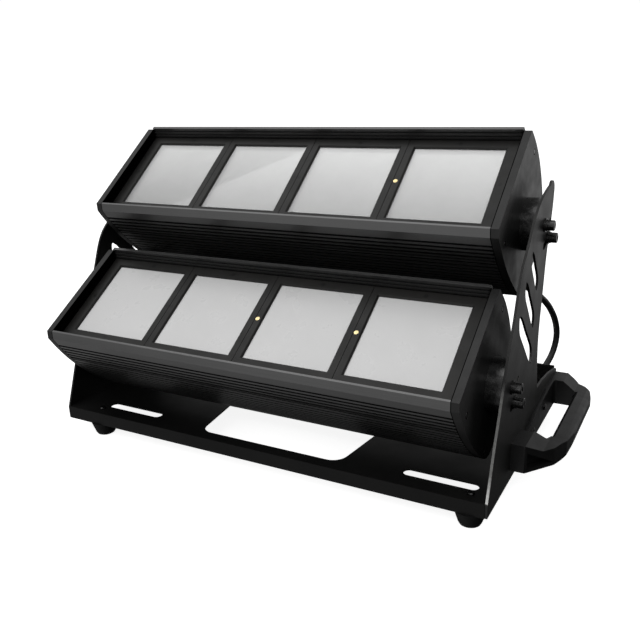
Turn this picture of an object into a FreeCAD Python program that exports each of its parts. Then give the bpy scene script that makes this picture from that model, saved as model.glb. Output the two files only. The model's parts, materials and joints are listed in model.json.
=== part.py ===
import FreeCAD, Part
import math
import os

# Cyclorama light: two tilting four-cell LED heads between side plates on a slotted base.
# Frame: X runs along the heads, Y runs from the front to the rear, Z is up.
# The origin is on the floor under the middle of the light.
# A head is drawn in its own plane first: u runs up across its windows, v points out of them.
# All lengths are in millimetres.

os.makedirs("parts", exist_ok=True)

Vector = FreeCAD.Vector
X_AXIS = Vector(1, 0, 0)
Y_AXIS = Vector(0, 1, 0)
Z_AXIS = Vector(0, 0, 1)
ORIGIN = Vector(0, 0, 0)

# General fits
overrun = 5.0
seat_gap = 0.3
running_gap = 0.05
parallel_share = 0.99

# Windows and head length
cell_count = 4
cell_pitch = 140.0
window_length = 119.1
window_height = 121.5
head_end_margin = 8.0
head_length = cell_count * cell_pitch + 2 * head_end_margin

# Head section
front_half = 88.0
rear_half = 93.0
head_depth = 151.0
front_lip_rise = 15.0
front_bevel_drop = 9.0
front_bevel_run = 6.0
cap_lip_rise = 12.5
cap_lip_setback = 14.0
housing_lip_rise = 14.8
housing_lip_setback = 8.5
front_belly_shares = [(-1.0, -0.013), (-0.943, -0.384), (-0.739, -0.808)]
front_corner_shares = [front_belly_shares[-1], (-0.545, -0.967), (-0.341, -1.0)]
rear_corner_shares = [(0.323, -1.0), (0.645, -0.927), (0.86, -0.781)]
rear_belly_shares = [rear_corner_shares[-1], (1.0, -0.397), (0.925, -0.033)]

# Head recess and cavity
recess_front = 72.0
recess_rear = 74.8
lip_wall = 2.6
lip_step = 1.8
lip_step_height = 4.6
ledge_depth = 10.0
ledge_width = 8.0
ledge_thickness = 5.0
shelf_depth = 95.0
shelf_width = 5.5
shelf_thickness = 5.0
cavity_top_front = 76.0
cavity_top_rear = 79.0
front_belly_wall = 7.5
rear_belly_wall = 12.5
cavity_floor = 141.0
floor_front = 40.0
floor_rear = 44.0
haunch_front = (57.0, 122.0)
haunch_rear = (65.0, 121.0)
screw_channel_radius = 4.6

# Cooling ribs
coarse_groove_count = 4
coarse_groove_pitch = 7.4
coarse_groove_width = 3.6
coarse_groove_depth = 7.0
coarse_groove_start = 9.0
divider_groove_width = 5.0
divider_groove_depth = 8.0
fine_groove_count = 10
fine_groove_width = 2.4
fine_groove_depth = 2.6
fine_zone_shares = (0.34, 0.93)
rear_groove_count = 7
rear_groove_width = 5.0
rear_groove_depth = 9.0
rear_zone_shares = (0.24, 0.80)
back_groove_count = 4
back_groove_width = 5.0
back_groove_depth = 6.0
back_groove_pitch = 11.0

# Window stack
bezel_thickness = 3.0
bezel_seam = 0.7
bezel_chamfer = 1.6
pane_thickness = 4.0
pane_cover = 2.2
gasket_width = 1.2
gasket_inset = 0.1
carrier_thickness = 3.0
bezel_screw_radius = 1.5
bezel_screw_head_radius = 2.9
bezel_screw_head_height = 1.6
bezel_screw_grip = 6.0
side_screw_inset = 3.2

# Light engine
reflector_wall = 1.2
reflector_rim = 3.0
reflector_throat = 36.0
board_size = 62.0
board_thickness = 2.4
emitter_radius = 14.0
emitter_thickness = 1.4
heat_plate_thickness = 5.0
heat_plate_clear = 0.3
heat_plate_end_clear = 3.0
driver_length = 230.0
driver_width = 74.0
driver_height = 28.0
driver_foot_length = 12.0
driver_foot_thickness = 2.0
driver_edge = 2.0

# End caps and hubs
cap_thickness = 10.0
cap_screw_radius = 2.0
cap_screw_head_radius = 3.8
cap_screw_head_height = 2.4
cap_screw_grip = 18.0
pivot_u = 6.0
pivot_v = -73.0
hub_radius = 33.0
hub_length = 20.0
hub_spigot_radius = 12.0
hub_spigot_length = 6.0
hub_edge = 1.2
hub_screw_count = 3
hub_screw_circle = 15.0
hub_screw_radius = 2.0
hub_screw_head_radius = 4.0
hub_screw_head_height = 2.2
hub_screw_grip = 7.0
hub_screw_turn = 90.0

# Pivot and lock bolts
bolt_radius = 4.0
bolt_head_radius = 6.5
bolt_head_height = 8.0
bolt_head_edge = 0.8
bolt_socket_flats = 6.0
bolt_socket_depth = 4.5
bolt_grip = 14.0
washer_radius = 8.5
washer_thickness = 1.8
spring_washer_radius = 7.2
spring_washer_thickness = 2.2
lock_circle = 27.0
slot_clearance = 0.25
slot_low_turn = -90.0
slot_high_turn = 0.0

# Base
plate_thickness = 3.0
sheet_thickness = 2.0
base_depth = 344.0
flange_height = 18.3
lip_depth = 22.0
rear_panel_height = 58.6
feature_shift = 20.0
foot_shift = 16.0
foot_spread = 281.0
foot_inset = 16.0
foot_height = 20.4
foot_top_radius = 19.5
foot_bottom_radius = 14.5
foot_edge = 5.0
foot_edge_share = 0.35
foot_screw_radius = 2.5
foot_screw_head_radius = 4.6
foot_screw_head_height = 2.6
foot_screw_depth = 11.0
slot_spread = 235.0
slot_length = 94.0
slot_width = 15.0
slot_inset = 32.0
cutout_front_inset = 18.0
cutout_front_length = 214.0
cutout_rear_length = 252.0
cutout_depth = 150.0
cutout_corner = 20.0

# Pan-head screws
screw_rim_share = 0.6
screw_crown_share = 0.7

# Where the heads pivot, from the base's front edge and underside
upper_pivot_back = 210.7
upper_pivot_rise = 292.9
lower_pivot_back = 85.8
lower_pivot_rise = 126.5
upper_tilt = 37.05
lower_tilt = 32.94
upper_lock_turn = -45.0
lower_lock_turn = -62.0

# Side plate outline, from the base's front edge and underside, as shares of its depth and height
plate_height = 340.4
toe_inset = 1.0
toe_height = 16.6
plate_brow_share = (0.0728, 0.2309)
plate_front_shares = [(0.1368, 0.3719), (0.1891, 0.4953), (0.2501, 0.6069), (0.3373, 0.7773),
                      (0.3868, 0.8214), (0.4754, 0.9139), (0.5815, 0.9712), (0.6746, 0.9935)]
plate_tip_share = (0.7253, 1.0000)
plate_rear_shares = [(0.7385, 0.9712), (0.7153, 0.8684), (0.6760, 0.7626), (0.6423, 0.6099),
                     (0.6106, 0.4277), (0.6164, 0.3249), (0.6397, 0.2133)]
plate_shoulder_shares = [(0.7385, 0.2103), (0.8519, 0.1957)]
plate_heel_run = 10.0
plate_heel_setback = 0.6
plate_heel_drop = 4.0

# Leaf-shaped vents in the side plates: top point and bottom point, then widths and half widths
leaf_top_shares = [(0.4565, 0.7964), (0.3839, 0.7068), (0.3199, 0.6040)]
leaf_bottom_shares = [(0.5365, 0.6363), (0.5112, 0.5026), (0.5060, 0.3660)]
leaf_widths = [23.0, 24.0, 27.0]
leaf_shares = [(0.10, 0.16), (0.38, 0.30), (0.74, 0.48), (0.92, 0.38)]

# Screws between base, side plates and rear panel
joint_screw_radius = 2.0
joint_screw_head_radius = 3.6
joint_screw_head_height = 2.2
joint_screw_height = 8.5
joint_screw_depth = 2.4
plate_screw_count = 4
plate_screw_margin = 40.0
panel_screw_count = 5
panel_screw_margin = 45.0

# Carrying handles; the plan's points are shares of the reach and of the length
handle_length = 250.0
handle_inset = 92.0
handle_bottom = 14.6
handle_reach = 56.9
handle_strap = 5.0
root_height = 36.0
grip_height = 23.0
root_reach_share = 0.308
root_end_share = 1.0
bow_shares = [(0.79, 0.144), (0.95, 0.256), (1.0, 0.40), (1.0, 0.848), (0.93, 0.908), (0.77, 0.96),
              (0.51, 1.0)]
gap_front_share = 0.152
gap_rear_share = 0.864
grip_inner_share = 0.60
gap_bend_share = (0.545, 0.208)
gap_side_share = 0.264
bow_rounding = 12.0
root_rounding = 3.0
gap_rounding = 4.0
grip_edge = 8.0
gap_edge = 4.0
pocket_depth = 12.0
pocket_rim = 3.2
pocket_shares = [(0.08, 0.0), (0.08, 0.76), (0.96, 0.06)]
strap_waist_shares = [(0.03, 0.0), (0.16, 0.42), (0.31, 0.24), (0.54, 0.10), (0.80, 0.0)]
handle_screw_shares = [(0.31, 0.33), (0.65, 0.58)]
handle_screw_radius = 2.5
handle_screw_head_radius = 4.5
handle_screw_head_height = 2.8
handle_nut_radius = 4.4
handle_nut_height = 3.6

# Junction box and connectors on the rear panel
box_length = 260.0
box_depth = 58.0
box_height = 38.0
box_sheet = 1.5
box_flange = 10.0
terminal_length = 96.0
terminal_depth = 22.0
terminal_height = 20.0
terminal_setback = 5.0
terminal_way_count = 8
terminal_way_radius = 2.2
terminal_way_depth = 4.0
connector_kinds = ("power", "data", "data", "power")
connector_spread = 44.0
connector_rise = 36.0
power_flange = 30.0
data_flange = 26.0
connector_flange_thickness = 2.2
connector_corner = 4.0
power_radius = 12.0
data_radius = 11.0
connector_body_depth = 24.0
connector_well_wall = 2.0
connector_well_depth = 12.0
power_blade_count = 3
power_blade_size = 2.4
power_blade_circle = 5.5
data_pin_count = 5
data_pin_radius = 1.2
data_pin_circle = 4.8
contact_height = 8.0
connector_screw_radius = 1.5
connector_screw_head_radius = 2.6
connector_screw_head_height = 1.6
connector_screw_depth = 5.0
connector_screw_inset = 3.6

# Cable glands and the upper head's cable
cable_radius = 4.75
gland_flats = 20.0
gland_hex_length = 6.0
gland_thread_radius = 8.0
gland_thread_length = 9.0
gland_nut_length = 4.0
gland_dome_radius = 8.6
gland_tip_radius = 5.4
gland_length = 24.0
gland_dome_share = 0.55
head_gland_end_inset = 6.0
head_gland_u = 20.0
panel_gland_spread = 292.5
panel_gland_rise = 30.6
gland_release_gap = 1.5
cable_arc_share = 0.45

# Places worked out from the sizes above
half_head = head_length / 2
cap_face = half_head + cap_thickness
plate_inner = cap_face + hub_length
plate_outer = plate_inner + plate_thickness
base_bottom = foot_height
base_top = base_bottom + flange_height
tilt_low = math.radians(lower_tilt)
lip_du = -(front_half - front_bevel_run) - pivot_u
lip_dv = front_lip_rise - pivot_v
front_reach = lower_pivot_back + lip_du * math.cos(tilt_low) - lip_dv * math.sin(tilt_low)
rear_reach = base_depth + gland_length
base_front = -(front_reach + rear_reach) / 2
base_rear = base_front + base_depth
panel_inner = base_rear - sheet_thickness
bezel_length = cell_pitch - bezel_seam
bezel_front = recess_front - seat_gap
bezel_rear = recess_rear - seat_gap
pane_length = window_length + 2 * pane_cover
pane_height = window_height + 2 * pane_cover
pane_back = bezel_thickness + pane_thickness
carrier_back = pane_back + carrier_thickness
cavity_front = recess_front - ledge_width
cavity_rear = recess_rear - ledge_width
cell_centres = [(index - (cell_count - 1) / 2) * cell_pitch for index in range(cell_count)]


def save(shape, name):
    """Write one node."""
    shape.exportStep("parts/" + name + ".step")


def group(solids):
    """Keep several separate solids as one node."""
    return Part.makeCompound(solids)


def from_base(back, rise):
    """A place in the side view, measured from the base's front edge and underside."""
    return Vector(0, base_front + back, base_bottom + rise)


def block(low, high):
    """A box between two corners."""
    size = high - low
    return Part.makeBox(size.x, size.y, size.z, low)


def prism(points, direction):
    """A polygon pushed along a direction."""
    return Part.Face(Part.makePolygon(points + [points[0]])).extrude(direction)


def turned(profile, start, direction):
    """A turned piece: radius and height pairs spun about an axis that starts at a point."""
    points = [Vector(radius, 0, height) for radius, height in profile]
    face = Part.Face(Part.makePolygon(points + [points[0]]))
    solid = face.revolve(ORIGIN, Z_AXIS, 360)
    solid.Placement = FreeCAD.Placement(start, FreeCAD.Rotation(Z_AXIS, direction))
    return solid


def rod(radius, start, direction, length):
    """A plain round bar."""
    return Part.makeCylinder(radius, length, start, direction)


def hexagon(flats, start, direction, length):
    """A hexagonal bar."""
    corner = flats / (2 * math.cos(math.pi / 6))
    points = []
    for index in range(6):
        turn = index * math.pi / 3
        points.append(Vector(corner * math.cos(turn), corner * math.sin(turn), 0))
    solid = prism(points, Vector(0, 0, length))
    solid.Placement = FreeCAD.Placement(start, FreeCAD.Rotation(Z_AXIS, direction))
    return solid


def rounded_box(low, high, radius, axis):
    """A box whose edges along one axis are rounded."""
    solid = block(low, high)
    edges = []
    for edge in solid.Edges:
        along = edge.Vertexes[1].Point - edge.Vertexes[0].Point
        if abs(along.normalize().dot(axis)) > parallel_share:
            edges.append(edge)
    return solid.makeFillet(radius, edges)


def cap_screw(start, direction, radius, head_radius, head_height, depth):
    """A pan-head screw: the head stands on a face, the shank goes in against the direction."""
    profile = [(0, -depth), (radius, -depth), (radius, 0), (head_radius, 0),
               (head_radius, head_height * screw_rim_share),
               (head_radius * screw_crown_share, head_height), (0, head_height)]
    return turned(profile, start, direction)


def flush_screw(start, direction, radius, head_radius, head_height, depth):
    """A countersunk screw whose head ends flush with a face."""
    profile = [(0, -depth), (radius, -depth), (radius, -head_height), (head_radius, 0), (0, 0)]
    return turned(profile, start, direction)


def flush_hole(start, direction, radius, head_radius, head_height, depth):
    """The hole for a countersunk screw, open past its face."""
    profile = [(0, -depth), (radius, -depth), (radius, -head_height), (head_radius, 0),
               (head_radius, overrun), (0, overrun)]
    return turned(profile, start, direction)


# Head section and its outline

def section_points(shares):
    """Points of the head's section from shares of its half widths and depth."""
    points = []
    for u_share, v_share in shares:
        half = front_half if u_share < 0 else rear_half
        points.append(Vector(0, u_share * half, v_share * head_depth))
    return points


front_belly = Part.Arc(*section_points(front_belly_shares))
front_corner = Part.Arc(*section_points(front_corner_shares))
rear_corner = Part.Arc(*section_points(rear_corner_shares))
rear_belly = Part.Arc(*section_points(rear_belly_shares))


def head_face(lip_points):
    """The closed section of a head, with the given points along its rear lip."""
    front_top = Vector(0, -front_half + front_bevel_run, front_lip_rise)
    front_low = Vector(0, -front_half, front_lip_rise - front_bevel_drop)
    belly_start = front_belly.StartPoint
    edges = [Part.makeLine(front_top, front_low)]
    edges.append(Part.makeLine(front_low, belly_start))
    edges.append(front_belly.toShape())
    edges.append(front_corner.toShape())
    edges.append(Part.makeLine(front_corner.EndPoint, rear_corner.StartPoint))
    edges.append(rear_corner.toShape())
    edges.append(rear_belly.toShape())
    corner = rear_belly.EndPoint
    for point in lip_points + [front_top]:
        edges.append(Part.makeLine(corner, point))
        corner = point
    return Part.Face(Part.Wire(edges))


def groove(place, tangent, width, depth):
    """A groove's section, square to the surface at a place."""
    along = Vector(tangent).normalize() * (width / 2)
    inward = X_AXIS.cross(Vector(tangent).normalize())
    middle = Vector(0, 0, pivot_v)
    if inward.dot(middle - place) < 0:
        inward = inward * -1
    inner = place + inward * depth
    outer = place - inward * overrun
    corners = [outer - along, outer + along, inner + along, inner - along]
    return Part.Face(Part.makePolygon(corners + [corners[0]]))


def grooves_on_arc(arc, shares, count, width, depth):
    """Evenly spaced grooves over a stretch of an arc."""
    found = []
    span = arc.LastParameter - arc.FirstParameter
    for index in range(count):
        share = shares[0] + (shares[1] - shares[0]) * index / (count - 1)
        parameter = arc.FirstParameter + span * share
        found.append(groove(arc.value(parameter), arc.tangent(parameter)[0], width, depth))
    return found


def belly_reach(arcs):
    """How far a side's belly and corner stand out at the depth of the shelf's underside."""
    depth = shelf_depth + shelf_thickness
    level = Part.Line(Vector(0, 0, -depth), Vector(0, 1, -depth))
    return max(abs(point.Y) for arc in arcs for point in arc.intersect(level))


def housing_profile():
    """The ribbed extrusion: outline less the recess, the cavity and the grooves."""
    lip_outer = rear_half - housing_lip_setback
    lip_inner = recess_rear + 2 * lip_step
    step_one = lip_step_height
    step_two = 2 * lip_step_height
    lip = [Vector(0, lip_outer, step_two), Vector(0, lip_outer - lip_step, housing_lip_rise),
           Vector(0, lip_inner, housing_lip_rise)]
    outline = head_face(lip)
    front_slope_top = -front_half + front_bevel_run + lip_wall
    low_front = belly_reach((front_belly, front_corner)) - front_belly_wall
    low_rear = belly_reach((rear_belly, rear_corner)) - rear_belly_wall
    above = front_lip_rise + overrun
    room = [(front_slope_top, above), (front_slope_top, front_lip_rise), (-recess_front, 0),
            (-recess_front, -ledge_depth), (-cavity_front, -ledge_depth),
            (-cavity_front, -ledge_depth - ledge_thickness),
            (-cavity_top_front, -ledge_depth - ledge_thickness), (-low_front, -shelf_depth),
            (-cavity_front + shelf_width, -shelf_depth),
            (-cavity_front + shelf_width, -shelf_depth - shelf_thickness),
            (-low_front, -shelf_depth - shelf_thickness), (-haunch_front[0], -haunch_front[1]),
            (-floor_front, -cavity_floor), (floor_rear, -cavity_floor), (haunch_rear[0], -haunch_rear[1]),
            (low_rear, -shelf_depth - shelf_thickness),
            (cavity_rear - shelf_width, -shelf_depth - shelf_thickness),
            (cavity_rear - shelf_width, -shelf_depth), (low_rear, -shelf_depth),
            (cavity_top_rear, -ledge_depth - ledge_thickness),
            (cavity_rear, -ledge_depth - ledge_thickness),
            (cavity_rear, -ledge_depth), (recess_rear, -ledge_depth), (recess_rear, step_one),
            (recess_rear + lip_step, step_one), (recess_rear + lip_step, step_two),
            (lip_inner, step_two), (lip_inner, above)]
    points = [Vector(0, u, v) for u, v in room]
    tools = [Part.Face(Part.makePolygon(points + [points[0]]))]
    for index in range(coarse_groove_count):
        place = Vector(0, -front_half, -coarse_groove_start - index * coarse_groove_pitch)
        tools.append(groove(place, Z_AXIS, coarse_groove_width, coarse_groove_depth))
    divider_depth = coarse_groove_start + coarse_groove_count * coarse_groove_pitch
    tools.append(groove(Vector(0, -front_half, -divider_depth), Z_AXIS, divider_groove_width,
                        divider_groove_depth))
    tools += grooves_on_arc(front_belly, fine_zone_shares, fine_groove_count, fine_groove_width,
                            fine_groove_depth)
    tools += grooves_on_arc(rear_belly, rear_zone_shares, rear_groove_count, rear_groove_width,
                            rear_groove_depth)
    for index in range(back_groove_count):
        u = -index * back_groove_pitch
        tools.append(groove(Vector(0, u, -head_depth), Y_AXIS, back_groove_width, back_groove_depth))
    channels = []
    for u, v in cap_screw_places:
        circle = Part.makeCircle(screw_channel_radius, Vector(0, u, v), X_AXIS)
        channels.append(Part.Face(Part.Wire([circle])))
    return outline.cut(tools).fuse(channels).removeSplitter().Faces[0]


def cap_profile():
    """The plain end cap: the same outline with a lower rear lip and no grooves."""
    lip = [Vector(0, rear_half - cap_lip_setback + lip_step, cap_lip_rise - lip_step),
           Vector(0, rear_half - cap_lip_setback, cap_lip_rise)]
    return head_face(lip)


# Pieces of one head, in the head's own plane

channel_depth = ledge_depth + ledge_thickness + screw_channel_radius
cap_screw_places = [(-cavity_top_front + lip_step, -channel_depth),
                    (cavity_top_rear - lip_step, -channel_depth),
                    (-haunch_front[0], -haunch_front[1]), (haunch_rear[0], -haunch_rear[1])]


def make_housing():
    """The extruded housing with its tapped holes."""
    start = Vector(-half_head, 0, 0)
    solid = housing_profile().extrude(Vector(head_length, 0, 0))
    solid.translate(start)
    cuts = []
    depth = cap_screw_grip - cap_thickness
    for side in (-1, 1):
        for u, v in cap_screw_places:
            cuts.append(rod(cap_screw_radius, Vector(side * half_head, u, v), X_AXIS * -side, depth))
    for place in ledge_screw_places():
        low = place - Z_AXIS * (carrier_back + bezel_screw_grip)
        cuts.append(rod(bezel_screw_radius, low, Z_AXIS, bezel_screw_grip + overrun))
    cuts.append(rod(gland_thread_radius, head_gland_seat(1), Z_AXIS, gland_thread_length + overrun))
    return solid.cut(cuts)


def make_cap(side):
    """One end cap with its hub bore and screw holes; side is -1 at the left and 1 at the right."""
    solid = cap_profile().extrude(Vector(side * cap_thickness, 0, 0))
    solid.translate(Vector(side * half_head, 0, 0))
    outward = X_AXIS * side
    pivot = Vector(side * cap_face, pivot_u, pivot_v)
    cuts = [rod(hub_spigot_radius, pivot - outward * hub_spigot_length, outward,
                hub_spigot_length + overrun)]
    for u, v in cap_screw_places:
        place = Vector(side * cap_face, u, v)
        cuts.append(rod(cap_screw_radius, place - outward * (cap_thickness + overrun), outward,
                        cap_thickness + 2 * overrun))
        cuts.append(rod(cap_screw_head_radius + seat_gap, place - outward * cap_screw_head_height, outward,
                        cap_screw_head_height + overrun))
    for place in hub_screw_places(side):
        seat = Vector(side * cap_face, place.y, place.z)
        cuts.append(rod(hub_screw_radius, seat - outward * hub_screw_grip, outward,
                        hub_screw_grip + overrun))
    return solid.cut(cuts)


def make_cap_screws():
    """Eight sunk screws that hold the caps."""
    solids = []
    for side in (-1, 1):
        for u, v in cap_screw_places:
            seat = Vector(side * (cap_face - cap_screw_head_height), u, v)
            solids.append(cap_screw(seat, X_AXIS * side, cap_screw_radius, cap_screw_head_radius,
                                    cap_screw_head_height, cap_screw_grip - cap_screw_head_height))
    return group(solids)


def ledge_screw_places():
    """Bezel screws above and below each window, at the bezel's face."""
    places = []
    top = (window_height / 2 + bezel_rear) / 2
    bottom = -(window_height / 2 + bezel_front) / 2
    for x in cell_centres:
        places.append(Vector(x, top, 0))
        places.append(Vector(x, bottom, 0))
    return places


def side_screw_places():
    """Bezel screws at the left and right of each window, at the bezel's face."""
    places = []
    reach = bezel_length / 2 - side_screw_inset
    for x in cell_centres:
        places.append(Vector(x - reach, 0, 0))
        places.append(Vector(x + reach, 0, 0))
    return places


def window_frame(x, left, right, front, rear, window, thickness, top):
    """A flat frame round one window, between a left and a right end."""
    low = Vector(left, -front, top - thickness)
    high = Vector(right, rear, top)
    hole_low = Vector(x - window[0] / 2, -window[1] / 2, top - thickness - overrun)
    hole_high = Vector(x + window[0] / 2, window[1] / 2, top + overrun)
    return block(low, high).cut(block(hole_low, hole_high))


def window_bevel(x):
    """The sloped cut round a bezel's window."""
    wide = bezel_chamfer * 2
    outer = (window_length + wide, window_height + wide)
    rings = []
    for size, v in ((outer, 0), ((window_length, window_height), -bezel_chamfer)):
        corners = [Vector(x - size[0] / 2, -size[1] / 2, v), Vector(x + size[0] / 2, -size[1] / 2, v),
                   Vector(x + size[0] / 2, size[1] / 2, v), Vector(x - size[0] / 2, size[1] / 2, v)]
        rings.append(Part.makePolygon(corners + [corners[0]]))
    return Part.makeLoft(rings, True, True)


def make_bezels():
    """Four window bezels, side by side."""
    solids = []
    holes = []
    for place in ledge_screw_places() + side_screw_places():
        holes.append(flush_hole(place, Z_AXIS, bezel_screw_radius, bezel_screw_head_radius,
                                bezel_screw_head_height, bezel_thickness + overrun))
    for x in cell_centres:
        left = x - bezel_length / 2
        right = x + bezel_length / 2
        if x == cell_centres[0]:
            left = -half_head + bezel_seam
        if x == cell_centres[-1]:
            right = half_head - bezel_seam
        frame = window_frame(x, left, right, bezel_front, bezel_rear, (window_length, window_height),
                             bezel_thickness, 0)
        near = [hole for hole in holes if abs(hole.BoundBox.Center.x - x) < cell_pitch / 2]
        solids.append(frame.cut([window_bevel(x)] + near))
    return group(solids)


def make_bezel_screws():
    """Sixteen countersunk screws: long ones into the housing's ledges, short ones into the carrier."""
    solids = []
    for place in ledge_screw_places():
        solids.append(flush_screw(place, Z_AXIS, bezel_screw_radius, bezel_screw_head_radius,
                                  bezel_screw_head_height, carrier_back + bezel_screw_grip))
    for place in side_screw_places():
        solids.append(flush_screw(place, Z_AXIS, bezel_screw_radius, bezel_screw_head_radius,
                                  bezel_screw_head_height, carrier_back))
    return group(solids)


def make_panes():
    """Four glass panes behind the bezels."""
    solids = []
    for x in cell_centres:
        low = Vector(x - pane_length / 2, -pane_height / 2, -pane_back)
        high = Vector(x + pane_length / 2, pane_height / 2, -bezel_thickness)
        solids.append(block(low, high))
    return group(solids)


def make_gaskets():
    """Four soft rings round the panes."""
    solids = []
    for x in cell_centres:
        half = pane_height / 2 + gasket_width
        reach = pane_length / 2 + gasket_width
        solids.append(window_frame(x, x - reach, x + reach, half, half, (pane_length, pane_height),
                                   pane_thickness - gasket_inset, -bezel_thickness))
    return group(solids)


def make_carrier():
    """The plate with four windows that the panes lie on."""
    low = Vector(-half_head + seat_gap, -bezel_front, -carrier_back)
    high = Vector(half_head - seat_gap, bezel_rear, -pane_back)
    cuts = []
    for x in cell_centres:
        hole_low = Vector(x - window_length / 2, -window_height / 2, -carrier_back - overrun)
        hole_high = Vector(x + window_length / 2, window_height / 2, -pane_back + overrun)
        cuts.append(block(hole_low, hole_high))
    for place in ledge_screw_places() + side_screw_places():
        low_end = place - Z_AXIS * (carrier_back + overrun)
        cuts.append(rod(bezel_screw_radius, low_end, Z_AXIS, carrier_thickness + 2 * overrun))
    return block(low, high).cut(cuts)


board_top = shelf_depth - heat_plate_thickness - board_thickness


def funnel(x, grow, top, bottom):
    """A four-sided funnel from the window down to the throat, grown sideways by a wall."""
    rings = []
    wide = (window_length - reflector_wall, window_height - reflector_wall)
    narrow = (reflector_throat, reflector_throat)
    for size, v in ((wide, top), (narrow, bottom)):
        half_x = size[0] / 2 + grow
        half_u = size[1] / 2 + grow
        corners = [Vector(x - half_x, -half_u, v), Vector(x + half_x, -half_u, v),
                   Vector(x + half_x, half_u, v), Vector(x - half_x, half_u, v)]
        rings.append(Part.makePolygon(corners + [corners[0]]))
    return Part.makeLoft(rings, True, True)


def make_reflectors():
    """Four folded funnels with a rim under the carrier."""
    solids = []
    rim_top = -carrier_back
    for x in cell_centres:
        shell = funnel(x, 0, rim_top, -board_top)
        half_x = window_length / 2 + reflector_rim
        half_u = window_height / 2 + reflector_rim / 2
        rim = block(Vector(x - half_x, -half_u, rim_top - reflector_wall),
                    Vector(x + half_x, half_u, rim_top))
        inside = funnel(x, -reflector_wall, rim_top, -board_top)
        solids.append(shell.fuse(rim).cut(inside).removeSplitter())
    return group(solids)


def make_led_modules():
    """Four circuit boards, each with one round emitter, as one piece each."""
    solids = []
    for x in cell_centres:
        half = board_size / 2
        board = block(Vector(x - half, -half, -board_top - board_thickness),
                      Vector(x + half, half, -board_top))
        emitter = rod(emitter_radius, Vector(x, 0, -board_top), Z_AXIS, emitter_thickness)
        solids.append(board.fuse(emitter))
    return group(solids)


def make_heat_plate():
    """The plate on the housing's shelves that carries the boards."""
    low = Vector(-half_head + heat_plate_end_clear, -cavity_front + heat_plate_clear, -shelf_depth)
    high = Vector(half_head - heat_plate_end_clear, cavity_rear - heat_plate_clear,
                  -shelf_depth + heat_plate_thickness)
    return block(low, high)


def make_driver():
    """The driver in its metal case, with a foot at each end, on the cavity's floor."""
    half = driver_length / 2
    body = rounded_box(Vector(-half, -driver_width / 2, -cavity_floor),
                       Vector(half, driver_width / 2, -cavity_floor + driver_height), driver_edge, X_AXIS)
    feet = []
    for side in (-1, 1):
        near = side * (half - driver_edge)
        far = side * (half + driver_foot_length)
        low = Vector(min(near, far), -driver_width / 2, -cavity_floor)
        high = Vector(max(near, far), driver_width / 2, -cavity_floor + driver_foot_thickness)
        feet.append(block(low, high))
    return body.fuse(feet).removeSplitter()


def hub_screw_places(side):
    """Places of the hub's screws on the hub's outer face."""
    places = []
    for index in range(hub_screw_count):
        turn = math.radians(hub_screw_turn + index * 360 / hub_screw_count)
        places.append(Vector(side * plate_inner, pivot_u + hub_screw_circle * math.cos(turn),
                             pivot_v + hub_screw_circle * math.sin(turn)))
    return places


def lock_place(side, tilt, lock_turn):
    """Where the lock bolt enters the hub; its turn is given in the room, so the tilt comes off it."""
    turn = math.radians(lock_turn - tilt)
    return Vector(side * plate_inner, pivot_u + lock_circle * math.cos(turn),
                  pivot_v + lock_circle * math.sin(turn))


def make_hubs(tilt, lock_turn):
    """Two round hubs with a spigot in the cap, tapped for the pivot bolt and the lock bolt."""
    solids = []
    for side in (-1, 1):
        outward = X_AXIS * side
        centre = Vector(side * cap_face, pivot_u, pivot_v)
        profile = [(0, -hub_spigot_length), (hub_spigot_radius, -hub_spigot_length), (hub_spigot_radius, 0),
                   (hub_radius, 0), (hub_radius, hub_length - hub_edge), (hub_radius - hub_edge, hub_length),
                   (0, hub_length)]
        hub = turned(profile, centre, outward)
        cuts = []
        for place in (Vector(side * plate_inner, pivot_u, pivot_v), lock_place(side, tilt, lock_turn)):
            inner = place - outward * bolt_grip
            cuts.append(rod(bolt_radius, inner, outward, bolt_grip + overrun))
        for place in hub_screw_places(side):
            cuts.append(flush_hole(place, outward, hub_screw_radius, hub_screw_head_radius,
                                   hub_screw_head_height, hub_length + overrun))
        solids.append(hub.cut(cuts))
    return group(solids)


def make_hub_screws():
    """Six countersunk screws through the hubs into the caps."""
    solids = []
    for side in (-1, 1):
        for place in hub_screw_places(side):
            solids.append(flush_screw(place, X_AXIS * side, hub_screw_radius, hub_screw_head_radius,
                                      hub_screw_head_height, hub_length + hub_screw_grip))
    return group(solids)


def socket_bolt(face, outward, stack):
    """A socket-head bolt: its head stands on a stack of washers, its shank goes into the hub."""
    seat = face + outward * (plate_thickness + stack)
    shank = plate_thickness + stack + bolt_grip
    profile = [(0, -shank), (bolt_radius, -shank), (bolt_radius, 0), (bolt_head_radius, 0),
               (bolt_head_radius, bolt_head_height - bolt_head_edge),
               (bolt_head_radius - bolt_head_edge, bolt_head_height), (0, bolt_head_height)]
    bolt = turned(profile, seat, outward)
    mouth = seat + outward * (bolt_head_height - bolt_socket_depth)
    return bolt.cut(hexagon(bolt_socket_flats, mouth, outward, bolt_socket_depth + overrun))


washer_stack = washer_thickness + spring_washer_thickness


def ring(inner, outer, start, direction, length):
    """A plain ring."""
    return rod(outer, start, direction, length).cut(rod(inner, start, direction, length))


def bolt_places(kind, tilt, lock_turn):
    """The pivot bolts' or the lock bolts' places on the hubs' outer faces, with their outward ways."""
    places = []
    for side in (-1, 1):
        place = Vector(side * plate_inner, pivot_u, pivot_v)
        if kind == "lock":
            place = lock_place(side, tilt, lock_turn)
        places.append((place, X_AXIS * side))
    return places


def make_bolts(kind, tilt, lock_turn):
    """The two pivot bolts or the two lock bolts of a head."""
    solids = []
    for place, outward in bolt_places(kind, tilt, lock_turn):
        solids.append(socket_bolt(place, outward, washer_stack))
    return group(solids)


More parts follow.
